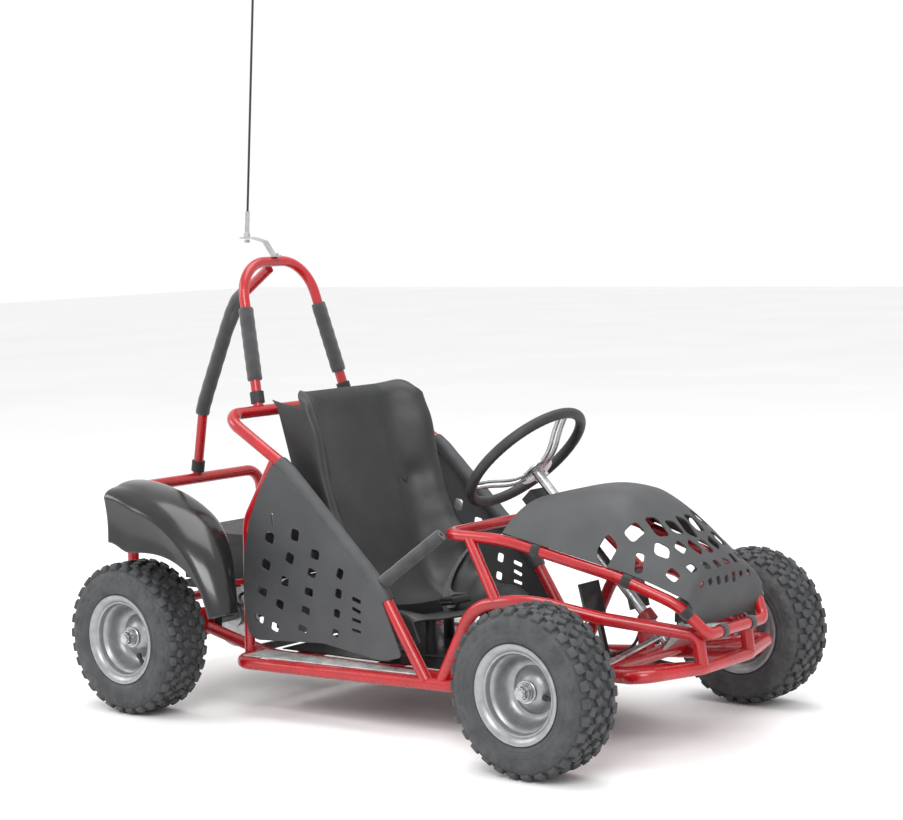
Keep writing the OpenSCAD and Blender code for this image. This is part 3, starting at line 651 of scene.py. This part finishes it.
def seatPoint(u, v):  # u runs from the top of the back to the front edge, v from right to left
    t = 2 * v - 1
    a = abs(t)
    crest, fold, half, corner = (seat[key] for key in ("crest", "fold", "half", "corner"))
    way = max(0, a - fold) / (1 - fold)  # across the outer wall
    y = half * min(a, fold) / fold + seat["flare"] * way
    flat = max(0, min(y, half) - (half - corner))
    drop = (corner - math.sqrt(max(0, corner ** 2 - flat ** 2))) / seat["length"]
    drop *= 1 - 0.9 * way
    w = drop + (1 - drop) * u - 0.4 * drop * u ** 8
    steps = seat["steps"]
    k = w * steps
    i = min(steps - 1, int(k))
    spot = seatFrames[i][0].lerp(seatFrames[i + 1][0], k - i)
    around = (max(0, i - seat["reach"]), i, min(steps, i + seat["reach"]))
    ahead = seatFrames[around[0]][1] + seatFrames[around[1]][1] + seatFrames[around[2]][1]
    normal = Vector((-ahead.z, 0, ahead.x)).normalized()
    bolster = between(seatBolster, w)
    rise = bolster * smoothStep((a - seat["flat"]) / (crest - seat["flat"])) ** 1.3
    if a > fold:  # the outer wall turns back from the crest, further beside the pan
        skirt = 0.030 * smoothStep((w - 0.6) / 0.12) * (1 - 0.5 * smoothStep((w - 0.9) / 0.1))
        rise -= (bolster + 0.020 + skirt) * way
    level = smoothStep(w / 0.1) * (1 - 0.5 * smoothStep((w - 0.85) / 0.15))
    dish = -seat["dish"] * math.exp(-(a / 0.4) ** 2) * level
    spot = spot + normal * (rise + dish)
    for rim in (seat["edge"] - u, u - (1 - seat["edge"])):  # rolled edges at the top and the front
        if rim > 0:
            spot = spot - normal * seat["edgeRoll"] * smoothStep(rim / seat["edge"])
    dent = ((w - 0.315) / 0.042) ** 2 + ((a - 0.66) / 0.105) ** 2  # hollow beside the shoulder
    spot = spot - normal * seat["dent"] * math.exp(-dent)
    return Vector((spot.x, math.copysign(y, t), spot.z))


def makeSeat():
    obj = sheetOf(seat["along"], seat["across"], seatPoint)
    modify(obj, "SOLIDIFY", thickness=seat["wall"], offset=0.0)
    bevelled(obj, 0.0015, 2, 60)
    outward(obj)
    # feet between the pan and the floor, and bolt heads on the back
    fixings = [drum(mm(x, y, 124.5), mm(x, y, top), 0.012, 32, 0.001)
               for x, top in ((-60, 193.5), (40, 199)) for y in (-90, 90)]
    fixings += [drum(mm(-199, y, 452), mm(-193, y, 454), 0.0085, 20, 0.001) for y in (-122, 122)]
    return joined([obj] + fixings)


ready(makeSeat(), "bucketSeat", "chassis", seatPlastic, 50, ["seat_shell"])
print("seat done")


# hood

# kneeX and bendX: where the rails under the hood change their direction
hood = {"backX": 0.318, "kneeX": 0.320, "bendX": 0.560, "frontX": 0.694, "chinZ": 0.250, "chinY": 0.104,
        "chin": 1.4, "soften": 0.045, "skin": 0.003, "along": 84, "across": 60}


def hoodEdge(x):  # along the outer side of the rails
    n = max(0, x - hood["kneeX"]) / 0.240
    m = (x - hood["bendX"]) / 0.135
    if x < hood["kneeX"]:
        return 0.199, 0.412
    if x < hood["bendX"]:
        return 0.199 - 0.034 * n ** 1.3, 0.412 - 0.058 * n ** 1.05
    return 0.165 - 0.036 * m, 0.354 - 0.052 * m ** 1.2


def hoodCrown(x):  # height of the middle
    rise = 0.022 * math.sin(math.pi * 0.9 * (x - hood["backX"]) / 0.240)
    return 0.468 + rise - 0.096 * (max(0, x - 0.500) / 0.195) ** 1.4


def hoodFold(u, v):  # u from the rear edge, 1 at the front fold and on to the chin
    x = hood["backX"] + (hood["frontX"] - hood["backX"]) * min(u, 1)
    drop = smoothStep(max(0, u - 1) / (hood["chin"] - 1)) if u > 1 else 0
    edgeY, edgeZ = hoodEdge(x)
    t = 2 * v - 1
    y = edgeY * (1 - drop) + hood["chinY"] * drop
    z = edgeZ + (hoodCrown(x) - edgeZ) * (1 - abs(t) ** 3)
    return Vector((x + 0.006 * math.sin(math.pi * drop), t * y, z * (1 - drop) + hood["chinZ"] * drop))


def hoodPoint(u, v):  # the fold at the front is pressed round
    s = hood["soften"]
    if u < 0.9 or u >= hood["chin"] - 0.05:
        return hoodFold(u, v)
    return (hoodFold(u - s, v) + hoodFold(u, v) * 2 + hoodFold(min(hood["chin"], u + s), v)) / 4


# openings: way along, way across, size along / across, turn
hoodRows = [
    {"at": 0.775, "from": -0.91, "to": 0.90, "count": 9, "size": (0.110, 0.086), "bow": 0.25, "lean": -0.35},
    {"at": 0.89, "from": -0.90, "to": 0.88, "count": 9, "size": (0.074, 0.076), "bow": 0.19, "lean": 0.3},
    {"at": 1.0, "from": -0.84, "to": 0.80, "count": 8, "size": (0.062, 0.060), "bow": 0.15, "lean": -0.2},
    {"at": 1.13, "from": -0.66, "to": 0.62, "count": 7, "size": (0.055, 0.052), "bow": 0.10, "lean": 0.2},
]


def cutHoles(slab, cutters):
    cutter = joined(cutters)
    modify(slab, "BOOLEAN", object=cutter, operation="DIFFERENCE", solver="EXACT")
    bpy.data.objects.remove(cutter)
    return slab


def slotCutter(x, y, length, width, turn):
    return bevelled(block((x, y, 0), (length, width, 0.2), (0, 0, turn), 0), min(length, width) * 0.28, 3, 60)


slabThick = 0.02  # sheets are cut as thick flat slabs, then thinned as they are bent


def makeHood():
    # cut flat, as from sheet, then bent over the rails
    deselect()
    bpy.ops.mesh.primitive_grid_add(x_subdivisions=hood["along"], y_subdivisions=hood["across"], size=1)
    slab = bpy.context.object
    slab.scale = (hood["chin"], 1, 1)
    slab.location = (hood["chin"] / 2, 0.5, 0)
    settle(slab)
    modify(slab, "SOLIDIFY", thickness=slabThick, offset=0.0)
    cutters = []
    for row in hoodRows:
        for k in range(row["count"]):
            t = row["from"] + (row["to"] - row["from"]) * k / (row["count"] - 1)
            size = 1 - 0.3 * abs(t - 0.1) + 0.2 * math.sin(2.6 * k + row["at"] * 20)
            cutters.append(slotCutter(row["at"] - row["bow"] * t * t, 0.5 + t / 2, row["size"][0] * size,
                                      row["size"][1] * (1.1 - 0.15 * size), row["lean"] + 0.3 * math.sin(3 * k)))
    cutHoles(slab, cutters)
    for vertex in slab.data.vertices:
        u, v, lift = vertex.co.x, vertex.co.y, vertex.co.z
        spot = hoodPoint(u, v)
        side = hoodPoint(u, min(1, v + 0.01)) - hoodPoint(u, max(0, v - 0.01))
        ahead = hoodPoint(min(hood["chin"], u + 0.01), v) - hoodPoint(max(0, u - 0.01), v)
        normal = ahead.cross(side).normalized()
        slack = 0.0012 * math.sin(9 * u + 4 * v) * math.sin(7 * v)
        vertex.co = spot + normal * ((lift / slabThick - 0.5) * hood["skin"] + slack)
    return outward(slab, 0.00002)


hoodSkin = ready(makeHood(), "hoodCover", "chassis", coverPlastic, 45, ["hood"])
print("hood done")


# side panels

# wrap: from and to, along the hoop, where the cover is turned round the tube
panel = {"y": 0.2642, "skin": 0.003, "corner": 0.012, "cell": 0.02,
         "line": [(-222, 528), (-262, 470), (-294, 404), (-313, 334), (-319, 245), (-310, 172), (-288, 154), (-99, 166),
                  (60, 146), (112, 158), (52, 288), (-8, 345), (-64, 396), (-120, 448), (-172, 492), (-204, 514)],
         "wrap": (0.176, 0.560)}
# columns of openings, each from its top to its foot, in mm
panelColumns = [
    {"top": (-238, 372), "foot": (-276, 200), "count": 4, "size": (25, 24)},
    {"top": (-166, 382), "foot": (-232, 186), "count": 5, "size": (22, 25)},
    {"top": (-112, 346), "foot": (-153, 190), "count": 5, "size": (23, 20)},
    {"top": (-46, 312), "foot": (-63, 190), "count": 4, "size": (17, 22)},
    {"top": (-4, 262), "foot": (-6, 200), "count": 4, "size": (24, 9)},
]


def makePanel():
    deselect()
    bpy.ops.mesh.primitive_circle_add(vertices=len(panel["line"]), radius=1, fill_type="NGON")
    slab = bpy.context.object
    for vertex, (x, z) in zip(slab.data.vertices, panel["line"]):
        vertex.co = (x / 1000, z / 1000, 0)
    outward(slab)
    modify(slab, "SOLIDIFY", thickness=slabThick, offset=0.0)
    # only the corners of the outline are rounded
    weights = slab.data.attributes.new("bevel_weight_edge", "FLOAT", "EDGE")
    for edge in slab.data.edges:
        a, b = (slab.data.vertices[i].co for i in edge.vertices)
        weights.data[edge.index].value = 1.0 if abs(a.z - b.z) > 0.75 * slabThick else 0.0
    modify(slab, "BEVEL", width=panel["corner"], segments=4, limit_method="WEIGHT")
    cutters = [slotCutter(-0.228, 0.410, 0.005, 0.026, 0.1)]
    for column in panelColumns:
        for k in range(column["count"]):
            way = k / (column["count"] - 1)
            x, z = (top + (foot - top) * way for top, foot in zip(column["top"], column["foot"]))
            length, width = (size / 1000 for size in column["size"])
            cutters.append(slotCutter(x / 1000, z / 1000, length, width * (1 - 0.3 * way),
                                      -0.25 + 0.1 * math.sin(7 * x)))
    cutHoles(slab, cutters)
    # fine cells so that the sheet can belly
    for axis in (0, 1):
        low = min(v.co[axis] for v in slab.data.vertices)
        high = max(v.co[axis] for v in slab.data.vertices)
        cuts = int((high - low) / panel["cell"])
        only(slab)
        bpy.ops.object.mode_set(mode="EDIT")
        for k in range(1, cuts):
            bpy.ops.mesh.select_all(action="SELECT")
            spot = [0, 0, 0]
            spot[axis] = low + (high - low) * k / cuts
            normal = [0, 0, 0]
            normal[axis] = 1
            bpy.ops.mesh.bisect(plane_co=spot, plane_no=normal)
        bpy.ops.object.mode_set(mode="OBJECT")
    for vertex in slab.data.vertices:
        x, z, lift = vertex.co
        belly = 0.0016 * math.sin((x + 0.3) * 11) * math.sin((z - 0.15) * 9)
        vertex.co = (x, -panel["y"] - (lift / slabThick) * panel["skin"] - belly * 0.4, z)
    outward(slab, 0.00002)
    # the upper edge is wrapped round the frame tube
    hoop = bentPath([mm(160, -250, 115), mm(48, -250, 288), mm(-200, -250, 518), mm(-372, -250, 618)], [0.12, 0.24])
    wrap = foamSleeve(pathBetween(hoop, *panel["wrap"]), 0.0163, 0.0131, 60, 26, 3)
    return joined([slab, wrap])


rightPanel = makePanel()
leftPanel = mirroredY(rightPanel)
for obj, name in ((rightPanel, "right"), (leftPanel, "left")):
    ready(obj, "sideCover_" + name, "chassis", coverPlastic, 40, ["side_panel_" + name])
print("side panels done")


# foam pads

legFoot = mm(-377, -141, 623)
legHead = mm(-456, -102, 931)
legWay = (legHead - legFoot).normalized()
foam = {"outer": 0.0163, "bore": 0.0113, "barOuter": 0.0136, "barBore": 0.004}

padPath = [legFoot + legWay * 0.062, legFoot + legWay * 0.220]
rightPad = foamSleeve(padPath, foam["outer"], foam["bore"])
leftPad = mirroredY(rightPad)
ready(rightPad, "foamPad_right", "chassis", foamBlack, 50, ["pad_right"])
ready(leftPad, "foamPad_left", "chassis", foamBlack, 50, ["pad_left"])
bracePath = rounded([mm(-548, 0, 862), mm(-578, 0, 840), mm(-634, 0, 722), mm(-688, 0, 608), mm(-693, 0, 588)], 2)
bracePad = foamSleeve(bracePath, foam["outer"], foam["bore"], 60, 26, 4)
ready(bracePad, "foamPad_brace", "chassis", foamBlack, 50, ["pad_brace"])
rightBar = foamSleeve([mm(56, -250, 302), mm(176, -211, 400)], foam["barOuter"], foam["barBore"], 30, 26, 2)
leftBar = mirroredY(rightBar)
ready(rightBar, "foamBar_right", "chassis", foamBlack, 50, ["side_bar_right"])
ready(leftBar, "foamBar_left", "chassis", foamBlack, 50, ["side_bar_left"])
print("foam pads done")


# belt and straps

belt = {"width": 0.040, "thick": 0.0014}


def ribbon(points, across, width, thick, steps=60):  # a strap along a path, its width laid across
    frames = pathFrames(rounded(points, 3), steps)

    def rule(u, v):
        k = round(u * steps)
        spot, ahead = frames[k][0], frames[k][1]
        side = across - ahead * across.dot(ahead)
        return spot + side.normalized() * width * (v - 0.5)
    obj = sheetOf(steps, 8, rule)
    modify(obj, "SOLIDIFY", thickness=thick, offset=1.0)
    return outward(obj)


# the belt lies on the bolster: ways along and across the seat, then its end in the buckle
beltWays = [(0.64, 0.83), (0.66, 0.76), (0.69, 0.66), (0.73, 0.52), (0.78, 0.38)]
beltRuns = []
for hand in (1, -1):
    laid = [seatPoint(way, 0.5 + hand * out / 2) + Vector((0.002, 0, 0.006)) for way, out in beltWays]
    beltRuns.append(laid + [mm(24, hand * 34, 218)])
for k, run in enumerate(beltRuns):
    side = "left" if k == 0 else "right"
    strap = ribbon(run, Vector((0.8, 0.25 * (1 if k else -1), 0.35)), belt["width"], belt["thick"])
    ready(strap, "lapBelt_" + side, "chassis", beltWebbing, 40, ["seat_belt"])


def makeBuckle():  # body, press and the tongue's bar, tipped with the seat
    tip = (0, math.radians(-8), 0)
    body = block(mm(25, 6, 224), (0.048, 0.058, 0.016), tip, 0.004, 3)
    press = block(mm(25, 22, 231), (0.026, 0.018, 0.006), tip, 0.002, 2)
    slotBar = block(mm(24, -29, 222), (0.046, 0.014, 0.005), tip, 0.0015, 2)
    return joined([body, press, slotBar])


ready(makeBuckle(), "lapBuckle", "chassis", boxPlastic, 35, ["belt_buckle"])

hoodPath = [mm(165, 0, 398), mm(165, -194, 398), mm(320, -196, 398), mm(560, -162, 340), mm(676, -130, 292),
            mm(716, -98, 236), mm(716, 0, 236)]
# straps round the hood rail: stretch of the rail and way along it in mm
hoodStraps = [(2, 64), (3, 10), (4, 10), (5, 40)]
strapFit = {"width": 0.018, "outer": 0.0139, "bore": 0.0114}
for k, (stretch, way) in enumerate(hoodStraps):
    ahead = (hoodPath[stretch + 1] - hoodPath[stretch]).normalized()
    start = hoodPath[stretch] + ahead * way / 1000
    strap = foamSleeve([start, start + ahead * strapFit["width"]], strapFit["outer"], strapFit["bore"], 4, 36, k)
    for side, obj in (("right", strap), ("left", mirroredY(strap))):
        ready(obj, "hoodStrap%d_%s" % (k + 1, side), "chassis", strapWebbing, 50, ["hood_straps"])
print("belt and straps done")


# steering wheel

ring = {"radius": 0.134, "tube": 0.0108, "ridges": 72, "lean": math.radians(44), "columnLength": 0.478}
columnWay = Vector((math.sin(ring["lean"]), 0, -math.cos(ring["lean"])))
columnEnd = mm(560, 0, 188)
ringCentre = columnEnd - ring["columnLength"] * columnWay
ringPlace = Matrix.Translation(ringCentre) @ Matrix.Rotation(math.pi - ring["lean"], 4, "Y")


def makeRing():
    deselect()
    bpy.ops.mesh.primitive_torus_add(major_radius=ring["radius"], minor_radius=ring["tube"],
                                     major_segments=216, minor_segments=20)
    obj = bpy.context.object
    for vertex in obj.data.vertices:
        turn = math.atan2(vertex.co.y, vertex.co.x)
        core = Vector((math.cos(turn), math.sin(turn), 0)) * ring["radius"]
        out = vertex.co - core
        inside = smoothStep(-out.normalized().dot(core.normalized()) * 2)
        vertex.co = core + out * (1 - 0.05 * inside * (0.5 + 0.5 * math.cos(turn * ring["ridges"])))
    obj.data.transform(ringPlace)
    return obj


def makeSpokes():  # hub plate, nut, three pairs of rods and three bolts
    parts = [drum(mm(0, 0, 33.5), mm(0, 0, 38.4), 0.037, 48, 0.001),
             drum(mm(0, 0, 27), mm(0, 0, 34), 0.014, 6, 0.001)]
    for turn in (60, 180, 300):
        spin = Matrix.Rotation(math.radians(turn), 4, "Z")
        for side in (-10, 10):
            path = rounded([mm(26, side, 36), mm(60, side, 33), mm(100, side, 12), mm(130, side, 2)], 2)
            rod = pipe(path, 0.0045, 24, 14)
            rod.data.transform(spin)
            parts.append(rod)
        bolt = drum(mm(30, 0, 29), mm(30, 0, 34), 0.0055, 6, 0.0006)
        bolt.data.transform(spin)
        parts.append(bolt)
    obj = joined(parts)
    obj.data.transform(ringPlace)
    return obj


ready(makeRing(), "steeringGrip", "steering", gripRubber, 60, ["steering_wheel"])
ready(makeSpokes(), "steeringSpokes", "steering", zincSteel, 40)
print("steering wheel done")


# mudguards

# the arch runs from one angle to another above the rear axle; its section is pairs of radius and way out, in mm
# lipR and lipY: the outer lip, where the skirt starts; share: of v, up to the lip
guard = {"wall": 0.0035, "from": 14.5, "to": 94.5, "lipR": 0.283, "lipY": 0.442, "share": 0.8,
         "section": [(202, 312), (262, 312), (290, 312.6), (312, 320), (320.5, 341), (319.5, 383), (310, 410.5),
                     (296, 431.5), (287, 440), (283, 442)]}
guardSection = rounded([mm(r, y, 0) for r, y in guard["section"]], 2)


def guardPoint(u, v):  # u along the arch, v from the inner wall's foot over the top to the skirt's edge
    degrees = guard["from"] + (guard["to"] - guard["from"]) * u
    angle = math.radians(degrees)
    lipR, lipY, share = guard["lipR"], guard["lipY"], guard["share"]
    wide = 0.48 + 0.52 * smoothStep((degrees - 10) / 48)  # the arch narrows down to its front foot
    lift = 0.016 * smoothStep((degrees - 76) / 19)  # and runs out flat at the back
    if v <= share:
        k = v / share * (len(guardSection) - 1)
        i = min(len(guardSection) - 2, int(k))
        spot = guardSection[i].lerp(guardSection[i + 1], k - i)
        r = lipR + (spot.x - lipR) * (0.5 + 0.5 * wide)
        r += lift * (0.3 + 0.7 * smoothStep((spot.y - 0.400) / 0.04))
        y = lipY - (lipY - spot.y) * wide
    else:
        way = (v - share) / (1 - share)
        r = lipR + lift - (0.004 + 0.090 * smoothStep((degrees - 22) / 62)) * way
        y = lipY - 0.0035 * math.sin(math.pi * way) * smoothStep((degrees - 40) / 20)
    axle = mm(-wheel["axleX"], 0, wheel["height"])
    return axle + Vector((r * math.cos(angle), -y, r * math.sin(angle)))


def makeGuard():
    obj = sheetOf(84, 90, guardPoint)
    modify(obj, "SOLIDIFY", thickness=guard["wall"], offset=0.0)
    bevelled(obj, 0.001, 2, 60)
    return outward(obj)


rightGuard = makeGuard()
leftGuard = mirroredY(rightGuard)
ready(rightGuard, "mudguardOf_right", "chassis", guardGloss, 50, ["mudguard_right"])
ready(leftGuard, "mudguardOf_left", "chassis", guardGloss, 50, ["mudguard_left"])
print("mudguards done")


# floor, light and camera

deselect()
bpy.ops.mesh.primitive_plane_add(size=40, location=(0, 0, 0))
floor = bpy.context.object
floor.name = "studioFloor"
floorMat, tree, shader, coords = newMaterial("studioFloor")
mottle(tree, shader, coords, "F2F2F2", "F6F6F6", 1.0)
shader.inputs["Roughness"].default_value = 0.9
floor.data.materials.append(floorMat)

world = bpy.data.worlds.new("studio")
bpy.context.scene.world = world
world.use_nodes = True
world.node_tree.nodes["Background"].inputs["Color"].default_value = (1, 1, 1, 1)
world.node_tree.nodes["Background"].inputs["Strength"].default_value = 1.0


def softLight(name, place, aim, size, power):
    data = bpy.data.lights.new(name, "AREA")
    data.shape = "RECTANGLE"
    data.size, data.size_y = size
    data.energy = power
    lamp = bpy.data.objects.new(name, data)
    bpy.context.scene.collection.objects.link(lamp)
    lamp.location = place
    lamp.rotation_euler = (Vector(aim) - Vector(place)).to_track_quat("-Z", "Y").to_euler()


softLight("keySoftbox", (2.2, -3.6, 3.4), (0, 0, 0.4), (2.4, 2.0), 120)
softLight("fillSoftbox", (-3.6, -2.6, 2.6), (0, 0, 0.4), (2.4, 2.0), 60)
softLight("topSoftbox", (0.2, 0.3, 4.2), (0, 0, 0.3), (3.0, 3.0), 90)

eye = {"place": mm(2945.2, -3543.5, 1030.1), "azimuth": 39.37, "down": 5.09, "roll": -1.63, "lens": 89.06}


def makeCamera():
    data = bpy.data.cameras.new("studioCamera")
    data.lens = eye["lens"]
    data.sensor_width = 36
    data.sensor_fit = "HORIZONTAL"
    cam = bpy.data.objects.new("studioCamera", data)
    bpy.context.scene.collection.objects.link(cam)
    a, e, r = (math.radians(eye[key]) for key in ("azimuth", "down", "roll"))
    ahead = Vector((-math.sin(a) * math.cos(e), math.cos(a) * math.cos(e), -math.sin(e)))
    right = Vector((math.cos(a), math.sin(a), 0))
    up = right.cross(ahead)
    right, up = right * math.cos(r) + up * math.sin(r), up * math.cos(r) - right * math.sin(r)
    cam.matrix_world = Matrix.Translation(eye["place"]) @ Matrix((right, up, -ahead)).transposed().to_4x4()
    bpy.context.scene.camera = cam


makeCamera()
bpy.context.scene.view_settings.view_transform = "Standard"
print("stage done")
